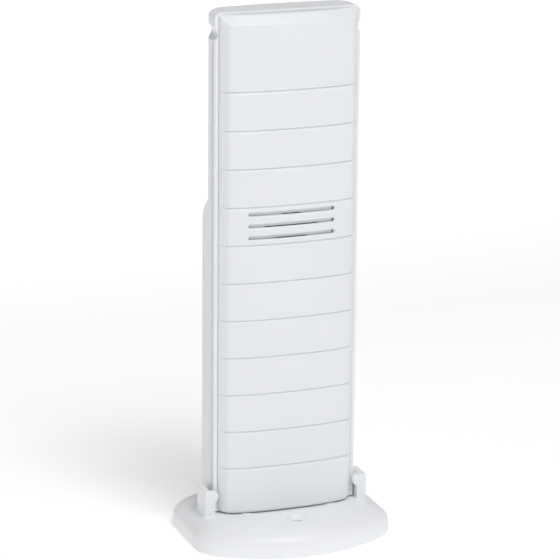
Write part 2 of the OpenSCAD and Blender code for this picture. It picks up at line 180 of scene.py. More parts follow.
def roughen(tree, source, strength, shader):
    """A fine surface texture, a hundredth of a millimetre deep."""
    bump = tree.nodes.new("ShaderNodeBump")
    bump.inputs["Strength"].default_value = strength
    bump.inputs["Distance"].default_value = 0.01 * mm
    tree.links.new(source, bump.inputs["Height"])
    tree.links.new(bump.outputs["Normal"], shader.inputs["Normal"])


def satin_abs(name, tint):
    """Satin moulded ABS: faint flow mottling, a fine spark-eroded grain and uneven gloss."""
    material, tree, shader, place = fresh_paint(name)
    shader.inputs["IOR"].default_value = 1.46
    shader.inputs["Specular IOR Level"].default_value = 0.4
    shader.inputs["Subsurface Weight"].default_value = 0.12
    shader.inputs["Subsurface Radius"].default_value = (0.0012, 0.0011, 0.001)
    shader.inputs["Subsurface Scale"].default_value = 0.6
    cloud = speckle(tree, place, 55, 3)
    spread(tree, cloud, [c * 0.985 for c in tint], tint, shader.inputs["Base Color"])
    spread(tree, speckle(tree, place, 160, 4), (0.32,) * 3, (0.42,) * 3, shader.inputs["Roughness"])
    roughen(tree, speckle(tree, place, 4200, 2), 0.3, shader)
    return material


def finish(piece, name, body, material, nodes=(), crease=32):
    """Names a piece, shades it, gives it its material and hangs it on its body."""
    piece.name = name
    piece.data.name = name
    if not any(piece.data.materials):
        piece.data.materials.clear()
        piece.data.materials.append(material)
    piece.data.shade_smooth()
    piece.data.set_sharp_from_angle(angle=math.radians(crease))
    weighted = piece.modifiers.new("even shading", "WEIGHTED_NORMAL")
    weighted.keep_sharp = True
    weighted.weight = 80
    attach(piece, body)
    if nodes:
        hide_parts(*nodes)
    return piece


foot_rings = [foot_outline(0, 0.35), foot_outline(0.12, 0.12), foot_outline(0.4, 0)]
for step in range(19):
    a = math.radians(5 * step)
    foot_rings.append(foot_outline(edge_h + (foot_top - edge_h) * math.sin(a),
                                   0.08 + shoulder_w * (1 - math.cos(a))))
foot = moulding("foot", foot_rings)
carve(foot, moulding("hollow", [foot_outline(-1, skin + 0.2), foot_outline(edge_h - 0.6, skin + 0.2),
                                foot_outline(foot_top - skin, skin + shoulder_w - 1)]))
rib_low, rib_high = 0.6, foot_top - skin / 2
for x in (-15, -5.5, 5.5, 15):
    reach = 17.6 - 0.14 * abs(x)
    weld(foot, block(x - 0.5, x + 0.5, -reach, reach, rib_low, rib_high))
for y in (-6, 6):
    weld(foot, block(-21.6, 21.6, y - 0.5, y + 0.5, rib_low, rib_high))


def ear(side):
    """An upright with a small fillet at its root, and a lead-in slope on the inner side of its top."""
    fillet, ease, root = 1.1, 0.28, foot_top - 0.6
    heights = [root - 0.3] + [root + fillet * t for t in (0, 0.06, 0.14, 0.24, 0.36, 0.5, 0.66, 0.83, 1)]
    heights += [ear_top - ear_slope, ear_top - ear_slope * 0.5, ear_top - ease]
    heights += [ear_top - ease * 0.5, ear_top - ease * 0.13, ear_top]
    rings = []
    for z in heights:
        up = min(1, max(0, (z - root) / fillet))
        flare = fillet * (1 - math.sqrt(1 - (1 - up) ** 2))
        over = max(0, z - (ear_top - ease)) / ease
        top_in = ease * (1 - math.sqrt(1 - over * over))
        inner = ear_x + max(0, z - (ear_top - ear_slope)) + top_in * 0.5
        outer = ear_x + ear_t + flare - top_in
        y0, y1 = ear_front - 0.4 * flare + top_in, ear_back + flare - top_in
        r = 0.35
        flat = (arc(outer - r, y0 + r, r, 270, 360, 4) + arc(outer - r, y1 - r, r, 0, 90, 4)
                + [(inner, y1), (inner, y0)])
        rings.append([(side * x, y, z) for x, y in flat])
    return moulding("ear", rings)


for side in (-1, 1):
    weld(foot, ear(side))
    nose = [(nose_r - 0.35, ear_front), (nose_r - 0.1, ear_front + 0.1),
            (nose_r, ear_front + 0.35), (nose_r, -2.8)]
    weld(foot, turned(nose, (side * nose_x, 0, nose_z), "Y"))
    boss = [(4.2, 2.0), (4.2, foot_top - skin / 2)]
    weld(foot, turned(boss, (0, side * screw_y, 0)))
    weld(foot, block(side * 11.3 - 1.2, side * 11.3 + 1.2, -8, -2, foot_top - 0.5, foot_top + 0.2, 0.15))
weld(foot, block(-6, 6, 1.5, 5.5, foot_top - 1, 10.5, 0.3))
for side in (-1, 1):
    hole = [(screw_hole_r, -1), (screw_hole_r, foot_top - 1.3), (screw_hole_r + 1.2, foot_top - 0.12),
            (screw_hole_r + 1.4, foot_top), (screw_hole_r + 2.6, foot_top + 0.3)]
    carve(foot, turned(hole, (0, side * screw_y, 0)))
# Painted light: the foot is the same white ABS as the case, but its tint is made lighter to stand in for
# the light it catches.
foot_white_painted_light = satin_abs("foot_satin_abs_painted_light", (0.885, 0.899, 0.918))
finish(foot, "foot_moulding", "foot", foot_white_painted_light, ["stand"])

# ---- Rear case -------------------------------------------------------------------------------
# The back half of the case, moulded in white ABS with 1.5 mm walls. Its lower part bulges out
# round the two cells, and its flat head holds the circuit board. Two screws draw it to the front.

case_w, case_low, case_top = 38.2, 7.4, 135.7
wall = 1.5
seam_y = -1.2
head_back, head_r, head_r_y, head_bow_r = 7.2, 5.0, 1.6, 170.0
bulge_back, bulge_r, bulge_r_y = 14.3, 9.2, 5.1
slope_low, slope_high = 81.5, 87.7
rim_r, low_corner_r = 1.8, 0.5
bay_low, bay_high, bay_floor = 12.4, 71.6, 1.2
cell_x, cell_y, cell_r = 7.9, 5.2, 7.25
door_w, door_low, door_high = 30.4, 14.6, 69.6
rim_y = -2.5
notch_z, notch_deep, notch_half, notch_lean = 130.45, 0.85, 1.6, 0.123
case_screw_at = [(-9.8, 129.6), (9.8, 129.6)]


def back_path(swell, inset, front):
    """Plan of the case from its left front edge round the back: the head at swell 0, the bulge at 1."""
    def plan(back, r, r_y, bow_r):
        hw, xc = case_w / 2 - inset, case_w / 2 - r
        side = [(hw, front + (r_y - front) * i / 5) for i in range(5)]
        corner = arc(xc, r_y, r - inset, 0, 90, 16)
        middle = []
        for i in range(1, 13):
            x = xc * (1 - i / 12)
            drop = bow_r - math.sqrt(bow_r * bow_r - x * x) if bow_r else 0
            middle.append((x, back - inset - drop))
        right = side + corner + middle
        return [(-x, y) for x, y in right][:-1] + right[::-1]
    head = plan(head_back, head_r, head_r_y, head_bow_r)
    bulge = plan(bulge_back, bulge_r, bulge_r_y, 0)
    return [(a[0] + (b[0] - a[0]) * swell, a[1] + (b[1] - a[1]) * swell) for a, b in zip(head, bulge)]


def case_form(inset, low, high, front):
    """The rear case's solid form between two heights, with its rounded lower and upper edges."""
    r, low_r = max(rim_r - inset, 0.3), max(low_corner_r - inset, 0.3)
    turn = [math.radians(90 * i / 8) for i in range(9)]
    rows = [(low + low_r * (1 - math.cos(a)), low_r * (1 - math.sin(a))) for a in turn]
    rows += [(low + low_r + (slope_low - low - low_r) * t, 0) for t in (0.33, 0.66)]
    rows += [(slope_low + (slope_high - slope_low) * i / 12, 0) for i in range(13)]
    rows += [(slope_high + (high - r - slope_high) * t, 0) for t in (0.33, 0.66)]
    rows += [(high - r + r * math.sin(a), r * (1 - math.cos(a))) for a in turn]
    rings = []
    for z, tuck in rows:
        t = min(1, max(0, (slope_high - z) / (slope_high - slope_low)))
        swell = 1 - ((z - slope_low) / (slope_high - slope_low)) ** 2 if 0 < t < 1 else t
        rings.append([(x, y, z) for x, y in back_path(swell, inset + tuck, front)])
    return moulding("case", rings)


def bulge_plate(inset, z0, z1):
    flat = back_path(1, inset, seam_y)
    return moulding("plate", [[(x, y, z) for x, y in flat] for z in (z0, z1)])


def notch_tool(side):
    """The round cutter of a pry notch. It lies from front to back and runs in along the rear corner."""
    r = (notch_half ** 2 + notch_deep ** 2) / (2 * notch_deep)
    rings = []
    for y in (-6, 14):
        x = side * (case_w / 2 + r - notch_deep - notch_lean * (y - rim_y))
        rings.append([(x + u, y, notch_z + v) for u, v in arc(0, 0, r, 0, 360, 64)[:-1]])
    return moulding("notch", rings)


white = satin_abs("white_satin_abs", (0.848, 0.864, 0.886))
rear = case_form(0, case_low, case_top, seam_y)
carve(rear, case_form(wall, case_low + wall, case_top - wall, seam_y - 2))
weld(rear, bulge_plate(wall / 2, bay_low - bay_floor, bay_low),
     bulge_plate(wall / 2, bay_high, bay_high + bay_floor))
for x, z in case_screw_at:
    weld(rear, turned([(3.5, 3.3), (3.5, 6.6)], (x, 0, z), "Y"))
    screw_well = [(1.3, 2), (1.3, 4.6), (2.3, 4.6), (2.3, 6.9), (2.7, 7.4), (2.7, 9)]
    carve(rear, turned(screw_well, (x, 0, z), "Y"))
carve(rear, block(-door_w / 2 - 0.2, door_w / 2 + 0.2, cell_y, 25, door_low - 0.2, door_high + 0.2))
scoop_r = 9.0
scoop = [(scoop_r - 0.9, -5.4), (scoop_r - 0.25, -4.9), (scoop_r, -4.2), (scoop_r, 4.2),
         (scoop_r - 0.25, 4.9), (scoop_r - 0.9, 5.4)]
carve(rear, turned(scoop, (0, bulge_back + 8.0, door_high), "X", 96))
carve(rear, block(-6.3, 6.3, 1.2, 5.8, case_low - 1, case_low + 2))
for side in (-1, 1):
    carve(rear, turned([(0.8, bay_high - 1), (0.8, bay_high + 2)], (side * 8.6, 3.0, 0)))
    x = side * (case_w / 2 + 0.5)
    carve(rear, block(x - 1, x + 1, seam_y - 1, -0.3, case_low - 1, notch_z))
    carve(rear, notch_tool(side))
finish(rear, "rear_case_shell", "case", white, ["rear_case"])

# ---- Contact plates --------------------------------------------------------------------------
# Three nickel-plated spring-steel plates that slide in at the ends of the bay. The one under both
# cells links them. The one above the left cell has a pressed button that meets the cell's pip.

plate_w, plate_t = 9.6, 0.4


def metal(name, tint, rough, streak=(900, 900, 60)):
    """Plated or drawn metal: fine draw lines with uneven gloss."""
    material, tree, shader, place = fresh_paint(name)
    shader.inputs["Metallic"].default_value = 1
    stretch = tree.nodes.new("ShaderNodeMapping")
    stretch.inputs["Scale"].default_value = streak
    tree.links.new(place, stretch.inputs["Vector"])
    lines = speckle(tree, stretch.outputs["Vector"], 5, 4)
    spread(tree, lines, [c * 0.86 for c in tint], tint, shader.inputs["Base Color"], 0.35)
    spread(tree, lines, (rough,) * 3, (rough + 0.16,) * 3, shader.inputs["Roughness"], 0.35)
    roughen(tree, lines, 0.2, shader)
    return material


nickel = metal("nickel_plate", (0.74, 0.71, 0.65), 0.22)


def contact_plate(x0, x1, z):
    """A flat plate with round corners and eased edges, lying at height z."""
    y0, y1, r = cell_y - plate_w / 2, cell_y + plate_w / 2, 1.2
    rings = []
    for dz, inset in ((0, 0.08), (0.08, 0), (plate_t - 0.08, 0), (plate_t, 0.08)):
        a, b, c, d, q = x0 + inset, x1 - inset, y0 + inset, y1 - inset, r - inset
        flat = (arc(b - q, c + q, q, 270, 360, 6) + arc(b - q, d - q, q, 0, 90, 6)
                + arc(a + q, d - q, q, 90, 180, 6) + arc(a + q, c + q, q, 180, 270, 6))
        rings.append([(x, y, z + dz) for x, y in flat])
    return moulding("plate", rings)


half = plate_w / 2
plus_plate = contact_plate(-cell_x - half, -cell_x + half, bay_high - plate_t)
carve(plus_plate, turned([(2.1, 0.25), (1.7, 0.12), (1.2, 0.02), (1.2, -1)][::-1],
                         (-cell_x, cell_y, bay_high - 0.2)))
minus_plate = contact_plate(cell_x - half, cell_x + half, bay_high - plate_t)
link_plate = contact_plate(-cell_x - half, cell_x + half, bay_low)
weld(link_plate, block(-3.2, 3.2, cell_y - 0.5, cell_y + 0.5, bay_low + 0.2, bay_low + 0.75, 0.2))
for piece, name, node in ((plus_plate, "plus_contact_plate", "plus_contact"),
                          (minus_plate, "minus_contact_plate", "minus_contact"),
                          (link_plate, "link_contact_plate", "link_contact")):
    finish(piece, name, "case", nickel, [node])

# ---- Cell springs ----------------------------------------------------------------------------
# Two cone springs of plated steel wire, wound with flat end turns. Each presses on the flat end of
# a cell and stands on its contact plate.

spring_l = bay_high - bay_low - 2 * plate_t - 50.5
spring_wire_r = 0.4


def wire(name, points, r, sides=10):
    """A round wire along points in millimetres."""
    path = [Vector(p) for p in points]
    side = None
    rings = []
    for i, p in enumerate(path):
        along = (path[min(i + 1, len(path) - 1)] - path[max(i - 1, 0)]).normalized()
        if side is None:
            side = along.orthogonal().normalized()
        side = (side - along * side.dot(along)).normalized()
        over = along.cross(side)
        rings.append([p + (side * math.cos(a) + over * math.sin(a)) * r
                      for a in (2 * math.pi * k / sides for k in range(sides))])
    return moulding(name, rings)


def spring_path(x, z, up, turns=6, steps=28):
    points = []
    for i in range(turns * steps + 1):
        t = i / (turns * steps)
        rise = t - math.sin(2 * math.pi * t) * 0.09
        r = 4.2 - 1.4 * t
        a = 2 * math.pi * turns * t
        h = spring_wire_r + (spring_l - 2 * spring_wire_r) * rise
        points.append((x + r * math.cos(a), cell_y + r * math.sin(a), z + up * h))
    return points


link_coil = wire("coil", spring_path(-cell_x, bay_low + plate_t, 1), spring_wire_r)
finish(link_coil, "link_spring_coil", "case", nickel, ["link_spring"], 60)
minus_coil = wire("coil", spring_path(cell_x, bay_high - plate_t, -1), spring_wire_r)
finish(minus_coil, "minus_spring_coil", "case", nickel, ["minus_spring"], 60)

# ---- Leads -----------------------------------------------------------------------------------
# A red and a black stranded lead in soft insulation. They run from the two upper contact plates
# through the bay's ceiling and are soldered to the circuit board.

lead_x, lead_r = 8.6, 0.6
board_y, board_t = 1.2, 1.2
board_back = board_y + board_t
lead_y = board_back + lead_r
lead_top = 79.6


def coated(name, tint, rough, coat=0.0, scale=260):
    """A painted, sleeved or moulded finish with cloudy tone and uneven gloss."""
    material, tree, shader, place = fresh_paint(name)
    shader.inputs["Coat Weight"].default_value = coat
    shader.inputs["Coat Roughness"].default_value = 0.12
    cloud = speckle(tree, place, scale, 5)
    spread(tree, cloud, [c * 0.8 for c in tint], tint, shader.inputs["Base Color"])
    spread(tree, cloud, (rough,) * 3, (min(1, rough + 0.18),) * 3, shader.inputs["Roughness"])
    roughen(tree, cloud, 0.15, shader)
    return material


tinned = metal("tinned_solder", (0.78, 0.78, 0.76), 0.28, (300, 300, 300))


def tin(piece, name, crease=60):
    """Finishes a tinned or soldered piece of the case."""
    finish(piece, name, "case", tinned, crease=crease)


red, black = (0.55, 0.02, 0.02), (0.02, 0.02, 0.02)
for side, name, node, slot, tint in ((-1, "red_lead", "positive_lead", "lead_red", red),
                                     (1, "black_lead", "negative_lead", "lead_black", black)):
    x = side * lead_x
    points = [(x, lead_y, bay_high + 0.02 + (lead_top - 1.2 - bay_high) * i / 12) for i in range(13)]
    finish(wire(name, points, lead_r, 16), name, "case",
           coated(name + "_sleeve", tint, 0.35, 0.3), [node], 50)
    strand = wire("strand", [(x, lead_y, lead_top - 1.4), (x, lead_y - 0.1, lead_top - 0.7),
                             (x, lead_y - 0.4, lead_top - 0.2), (x, board_back + 0.02, lead_top)], 0.28)
    tin(strand, name + "_strand")
    drop = [(r, board_back + h) for r, h in ((1.05, 0), (0.9, 0.1), (0.5, 0.42), (0.1, 0.56))]
    tin(turned(drop, (x, 0, lead_top), "Y", 24), name + "_solder")

# ---- Cells -----------------------------------------------------------------------------------
# Two AA cells: a steel can in a printed foil sleeve that is rolled over at both ends, with a
# nickel pip, a pale sealing washer and a flat nickel base. They stand side by side, head to tail.

cell_l, pip_l = 50.5, 1.0
low_band, high_band = 14.0, 4.0
foil = coated("gold_foil_sleeve", (0.62, 0.44, 0.16), 0.22, 0.6, 120)
foil.node_tree.nodes["Principled BSDF"].inputs["Metallic"].default_value = 0.85
band = coated("dark_foil_band", (0.03, 0.05, 0.12), 0.25, 0.6, 120)
washer = coated("pale_washer", (0.72, 0.71, 0.66), 0.6)


def cell(name, x, low, up, node):
    """A cell standing on low, with its pip up or, with up = -1, its pip down from low."""
    body = cell_l - pip_l
    profile = [(5.6, 0.06), (5.75, 0), (6.0, 0.02), (6.12, 0.24), (6.3, 0.34), (6.75, 0.3), (7.05, 0.42),
               (7.22, 0.7), (cell_r, 1.0), (cell_r, low_band), (cell_r, low_band + 0.02),
               (cell_r, body - high_band), (cell_r, body - high_band + 0.02), (cell_r, body - 1.0),
               (7.18, body - 0.62), (6.95, body - 0.34),
               (6.6, body - 0.24), (5.9, body - 0.22), (5.8, body - 0.34), (2.95, body - 0.34),
               (2.85, body - 0.1), (2.72, body + 0.1), (2.66, body + 0.72), (2.5, body + 0.93),
               (2.2, body + pip_l), (1.0, body + pip_l - 0.02)]
    rings = [(r, low + up * h) for r, h in profile]
    made = turned(rings if up > 0 else rings[::-1], (x, cell_y, 0), "Z", 72)
    for material in (foil, band, washer, nickel):
        made.data.materials.append(material)
    for face in made.data.polygons:
        middle = (face.center.z / mm - low) * up
        r = math.hypot(face.center.x / mm - x, face.center.y / mm - cell_y)
        if r > 6.1 or (r > 5.85 and middle > body / 2):
            near_base = 1 < middle < low_band + 0.01
            near_pip = body - high_band + 0.01 < middle < body - 1
            face.material_index = 1 if near_base or near_pip else 0
        elif middle < body / 2 or r < 2.96:
            face.material_index = 3
        else:
            face.material_index = 2
    return finish(made, name, "case", foil, [node])


cell("left_cell", -cell_x, bay_low + plate_t + spring_l, 1, "battery_left")
cell("right_cell", cell_x, bay_low + plate_t + cell_l, -1, "battery_right")

# ---- Battery door ----------------------------------------------------------------------------
# A curved white ABS panel that closes the bay. Two tabs at its foot hook behind the case, a latch
# finger freed by two cuts holds its top, and five grooves give a thumb its grip.

door_tab_x, finger_x = 2.2, 7.6


def door_ring(z, ease):
    """One slice of the door: the bulge's outer curve, and the same curve one wall further in."""
    def line(r, eased):
        edge = math.degrees(math.acos((door_w / 2 - (case_w / 2 - bulge_r)) / r))
        right = []
        for step, tuck in ((0, 0.22), (0.5, 0.07), (1.5, 0)):
            a = math.radians(edge + step)
            q = r - (max(tuck, ease) if eased else 0)
            right.append((case_w / 2 - bulge_r + q * math.cos(a), bulge_r_y + q * math.sin(a)))
        q = r - (ease if eased else 0)
        right += arc(case_w / 2 - bulge_r, bulge_r_y, q, edge + 5, 90, 8)
        right += [((case_w / 2 - bulge_r) * (1 - i / 6), bulge_r_y + q) for i in range(1, 7)]
        return right + [(-x, y) for x, y in reversed(right[:-1])]
    outer = line(bulge_r, True)
    inner_line = line(bulge_r - wall, False)
    return [(x, y, z) for x, y in outer + inner_line[::-1]]


door_rows = [(door_low, 0.22), (door_low + 0.07, 0.07), (door_low + 0.22, 0)]
door_rows += [(door_low + (door_high - door_low) * t, 0) for t in (0.25, 0.5, 0.75)]
door_rows += [(door_high - 0.22, 0), (door_high - 0.07, 0.07), (door_high, 0.22)]
door = moulding("door", [door_ring(z, ease) for z, ease in door_rows])
for i in range(5):
    rows = [(0.1, -6.0), (0.3, -5.75), (0.42, -5.3), (0.42, 5.3), (0.3, 5.75), (0.1, 6.0)]
    carve(door, turned(rows, (0, bulge_back, door_high - 4 - 1.6 * i), "X", 32))
for side in (-1, 1):
    x = side * finger_x
    carve(door, block(x - 0.4, x + 0.4, 10, 16, door_high - 12, door_high + 1))
    x = side * door_tab_x
    tab_y = bulge_back - wall - 1.3
    weld(door, block(x - 1.1, x + 1.1, tab_y, tab_y + 1, door_low - 1, door_low + 1.2, 0.15),
         block(x - 1.1, x + 1.1, tab_y, tab_y + 1.5, door_low + 0.2, door_low + 1.2))
finish(door, "battery_door_panel", "door", white, ["battery_door"])

# ---- Circuit board ---------------------------------------------------------------------------
# A 1.2 mm glass-epoxy board with a green solder mask, held by four screws. Its tracks fan out from
# the processor to plated pads, and a row of test pads runs along its top edge.

board_w, board_low, board_high = 31.6, 77.0, 126.5
board_screw_at = [(-12.8, 80.2), (12.8, 80.2), (-12.8, 123.2), (12.8, 123.2)]
blob_z, blob_r = 96.0, 6.0
capacitor_at = [(-12, 90), (-12, 93), (-9, 104), (9.5, 99), (9.5, 102), (5, 119), (8, 119), (-12, 118),
                (6, 112)]
resistor_at = [(-12, 96), (-12, 99), (-12, 102), (13, 96), (13, 99), (9, 112), (1.5, 119), (-1.5, 119)]


def panel(w, z0, z1, r, rows, n=8, x=0.0, low_r=None):
    """An upright rounded rectangle skinned through rows of (y, inset), from front to back."""
    rings = []
    for y, inset in rows:
        c = max(r - inset, 0.05)
        d = max((low_r or r) - inset, 0.05)
        hw, lo, hi = w / 2 - inset, z0 + inset, z1 - inset
        flat = (arc(hw - d, lo + d, d, 270, 360, n) + arc(hw - c, hi - c, c, 0, 90, n)
                + arc(c - hw, hi - c, c, 90, 180, n) + arc(d - hw, lo + d, d, 180, 270, n))
        rings.append([(x + u, y, v) for u, v in flat])
    return moulding("panel", rings)


def joined(name, pieces):
    """Several small solids as the separate shells of one piece."""
    bm = bmesh.new()
    for piece in pieces:
        bm.from_mesh(piece.data)
        bpy.data.objects.remove(piece)
    mesh = bpy.data.meshes.new(name)
    bm.to_mesh(mesh)
    bm.free()
    return placed(name, mesh)


def track(points, w=0.3):
    """A copper track on the back of the board, through (x, z) points."""
    runs = []
    for (x0, z0), (x1, z1) in zip(points, points[1:]):
        along = Vector((x1 - x0, z1 - z0))
        if along.length < 0.05:
            continue
        out = Vector((-along.y, along.x)).normalized() * w / 2
        flat = [(x0 + out.x, z0 + out.y), (x1 + out.x, z1 + out.y),
                (x1 - out.x, z1 - out.y), (x0 - out.x, z0 - out.y)]
        runs.append(moulding("run", [[(x, y, z) for x, z in flat]
                                     for y in (board_back - 0.02, board_back + 0.035)]))
    return runs


mask = coated("green_solder_mask", (0.02, 0.17, 0.07), 0.25, 0.5, 400)
mask_over_copper = coated("mask_over_copper", (0.05, 0.27, 0.10), 0.25, 0.5, 400)
board = panel(board_w, board_low, board_high, 0.8,
              [(board_y, 0.08), (board_y + 0.08, 0), (board_back - 0.08, 0), (board_back, 0.08)])
for x, z in board_screw_at:
    carve(board, turned([(1.2, 0.5), (1.2, 3)], (x, 0, z), "Y", 32))
finish(board, "board", "case", mask, ["circuit_board"])
runs, pads = [], []
for k in range(28):
    a = 2 * math.pi * (k + 0.5) / 28
    near, far = blob_r + 0.1, blob_r + (1.6 if k % 2 else 2.7)
    runs += track([(near * math.cos(a), blob_z + near * math.sin(a)),
                   (far * math.cos(a), blob_z + far * math.sin(a))], 0.22)
    pads.append(turned([(0.42, board_back), (0.36, board_back + 0.06)],
                       (far * math.cos(a), 0, blob_z + far * math.sin(a)), "Y", 16))
for x, z in capacitor_at + resistor_at:
    side = 1 if x > 0 else -1
    turn_x = side * min(abs(x) - 1.6, 9.4)
    runs += track([(x - side * 0.8, z), (turn_x, z), (turn_x, z + (2.0 if z < 105 else -2.4))])
    for end in (-0.8, 0.8):
        pads.append(panel(0.9, z - 0.55, z + 0.55, 0.15, [(board_back, 0), (board_back + 0.05, 0.03)],
                          3, x + end))
for i in range(6):
    x = -7.5 + 3 * i
    pads.append(turned([(0.8, board_back), (0.75, board_back + 0.05)], (x, 0, 124.4), "Y", 20))
    runs += track([(x, 124.4), (x, 121.2), (x * 0.8, 120.4)])
for x, z in board_screw_at:
    pads.append(carve(turned([(2.3, board_back), (2.25, board_back + 0.04)], (x, 0, z), "Y", 32),
                      turned([(1.3, 0), (1.3, 3)], (x, 0, z), "Y", 32)))
finish(joined("board_tracks", runs), "board_tracks", "case", mask_over_copper)
tin(joined("board_pads", pads), "board_pads", 32)

# ---- Sensors ---------------------------------------------------------------------------------
# On the front of the board, behind the vent slots: a humidity sensor in a white moulded body with
# an air hole, and a glass-coated bead thermistor on two bent wires.

slot_z, vent_drop = 82.4, 1.1
sensor_z = slot_z - vent_drop
sensor_white = coated("sensor_white", (0.8, 0.8, 0.77), 0.5)
ceramic = coated("fired_ceramic", (0.5, 0.34, 0.18), 0.45, 0.2, 500)
epoxy = coated("black_epoxy", (0.018, 0.018, 0.02), 0.4, 0.1, 600)
sensor = panel(5, sensor_z - 2.5, sensor_z + 2.5, 0.5,
               [(board_y - 1.8, 0.3), (board_y - 1.7, 0.08), (board_y - 1.5, 0), (board_y, 0)])
carve(sensor, turned([(1.3, -1.2), (1.3, board_y - 1.8), (1.0, board_y - 1.6), (1.0, board_y - 0.8)],
                     (0, 0, sensor_z), "Y", 32))
finish(sensor, "humidity_sensor_body", "case", sensor_white, ["humidity_sensor"])
legs = [block(s * 2.5 - 0.45, s * 2.5 + 0.45, board_y - 0.5, board_y,
              sensor_z + dz - 0.3, sensor_z + dz + 0.3, 0.08)
        for s in (-1, 1) for dz in (-1.3, 0, 1.3)]
tin(joined("sensor_legs", legs), "humidity_sensor_legs", 32)
bead_y, bead_x, leg_l, bend_r = board_y - 1.5, -7.0, 4.5, 0.8
bead = turned([(0.12, -1.3), (0.5, -1.22), (0.86, -0.95), (1.06, -0.5), (1.1, 0), (1.06, 0.42),
               (0.9, 0.8), (0.6, 1.08), (0.15, 1.2)], (bead_x, bead_y, sensor_z), "Z", 32)
finish(bead, "thermistor_bead", "case", ceramic, ["thermistor"], 60)
for s in (-1, 1):
    x = bead_x + s * 0.6
    points = [(x, bead_y, sensor_z - 0.6), (x, bead_y, sensor_z - 2)]
    points += [(x, bead_y + bend_r + bend_r * u, sensor_z - leg_l + bend_r + bend_r * v)
               for u, v in arc(0, 0, 1, 180, 270, 8)]
    points.append((x, board_y, sensor_z - leg_l))
    tin(wire("leg", points, 0.25), "thermistor_leg_" + ("left" if s < 0 else "right"))

# ---- Processor, radio and clock --------------------------------------------------------------
# On the back of the board: the processor chip under a poured drop of epoxy, the radio chip with
# its tinned legs, the radio's flanged crystal can and the clock's slim crystal can.

can = metal("drawn_can", (0.72, 0.73, 0.74), 0.2)
drop = [(r, board_back + h) for r, h in ((blob_r, 0), (blob_r - 0.12, 0.16), (5.5, 0.52), (4.9, 0.95),
                                         (4.0, 1.34), (2.9, 1.62), (1.5, 1.77), (0.2, 1.8))]
finish(turned(drop, (0, 0, blob_z), "Y", 64), "processor_drop", "case", epoxy,
       ["processor_blob"], 60)
chip_x, chip_z, chip_w = -5, 114, 5
chip = panel(chip_w, chip_z - chip_w / 2, chip_z + chip_w / 2, 0.15,
             [(board_back + 0.1, 0.12), (board_back + 0.55, 0), (board_back + 1, 0.12)], 3, chip_x)
carve(chip, turned([(0.35, board_back + 0.93), (0.35, board_back + 2)], (-6.7, 0, 115.7), "Y", 20))
finish(chip, "radio_chip_body", "case", epoxy, ["radio_chip"])
legs = []
for s in (-1, 1):
    for i in range(6):
        z = chip_z + (i - 2.5) * 0.75
        for reach, half_w, high in ((2.85, 0.45, 0.16), (2.5, 0.12, 0.6)):
            x = chip_x + s * reach
            legs.append(block(x - half_w, x + half_w, board_back, board_back + high, z - 0.15, z + 0.15))
tin(joined("chip_legs", legs), "radio_chip_legs", 32)
crystal = panel(10.6, 105.1, 108.7, 1.79,
                [(board_back + h, inset) for h, inset in ((0, 0), (0.35, 0), (0.38, 0.42), (2.2, 0.45),
                                                          (2.48, 0.56), (2.6, 0.85))])
finish(crystal, "radio_crystal_can", "case", can, ["radio_crystal"])
tube_x, tube_low = 11, 88
tube = [(r, tube_low + h)
        for r, h in ((0.92, 0), (1, 0.1), (1, 5.4), (0.92, 5.75), (0.68, 5.94), (0.3, 6))]
finish(turned(tube, (tube_x, board_back + 1.05, 0), "Z", 32), "clock_crystal_can", "case",
       can, ["clock_crystal"])
for s in (-1, 1):
    points = [(tube_x + s * out, board_back + y, tube_low + z)
              for out, y, z in ((0.35, 1.05, 0.2), (0.35, 1.0, -0.6), (0.5, 0.5, -1.1), (0.6, 0, -1.3))]
    tin(wire("leg", points, 0.16), "clock_crystal_leg_" + ("left" if s < 0 else "right"))

# ---- Capacitors and resistors ----------------------------------------------------------------
# One electrolytic capacitor in a dark shrink sleeve lies above the bay. The small ceramic
# capacitors and resistors are surface-mounted chips with tinned ends.

sleeve = coated("dark_shrink_sleeve", (0.02, 0.03, 0.08), 0.3, 0.5)
can_r, can_x0, can_x1, can_y, can_z = 3.1, -5.0, 6.0, board_back + 3.2, 81.4
body = [(r, can_x0 + h) for r, h in ((2.5, 0.12), (2.85, 0), (can_r, 0.3), (can_r, 1.3), (2.85, 1.6),
                                     (2.85, 1.8), (can_r, 2.1))]
body += [(can_r, can_x1 - 0.4), (2.95, can_x1 - 0.1), (2.6, can_x1), (2.4, can_x1 - 0.1)]
electrolytic = turned(body, (0, can_y, can_z), "X", 48)
for material in (sleeve, can):
    electrolytic.data.materials.append(material)
for face in electrolytic.data.polygons:
    if face.center.x > (can_x1 - 0.12) * mm:
        face.material_index = 1
finish(electrolytic, "electrolytic_capacitor", "case", sleeve, ["buffer_capacitor"])
for s in (-1, 1):
    points = [(can_x0 + 0.3, can_y + s * 1.2, can_z), (can_x0 - 0.6, can_y + s * 1.2, can_z),
              (can_x0 - 1.1, can_y - 0.6 + s * 1.1, can_z + s * 0.4),
              (can_x0 - 1.2, board_back, can_z + s * 1.1)]
    tin(wire("leg", points, 0.25), "electrolytic_leg_" + ("low" if s < 0 else "high"))


def chips(places, w, h, t):
    """Bodies and tinned ends of a group of chip parts on the back of the board."""
    bodies = [block(x - w / 2 + 0.28, x + w / 2 - 0.28, board_back + 0.03, board_back + t - 0.03,
                    z - h / 2 + 0.03, z + h / 2 - 0.03) for x, z in places]
    cap = 0.15
    ends = [block(x + s * (w / 2 - cap) - cap, x + s * (w / 2 - cap) + cap, board_back, board_back + t,
                  z - h / 2, z + h / 2, 0.05) for x, z in places for s in (-1, 1)]
    return joined("bodies", bodies), joined("ends", ends)


bodies, ends = chips(capacitor_at, 1.6, 0.8, 0.8)
finish(bodies, "chip_capacitors", "case", ceramic, ["small_capacitors"])
tin(ends, "chip_capacitor_ends", 32)
bodies, ends = chips(resistor_at, 1.6, 0.8, 0.5)
finish(bodies, "chip_resistors", "case", epoxy, ["small_resistors"])
tin(ends, "chip_resistor_ends", 32)

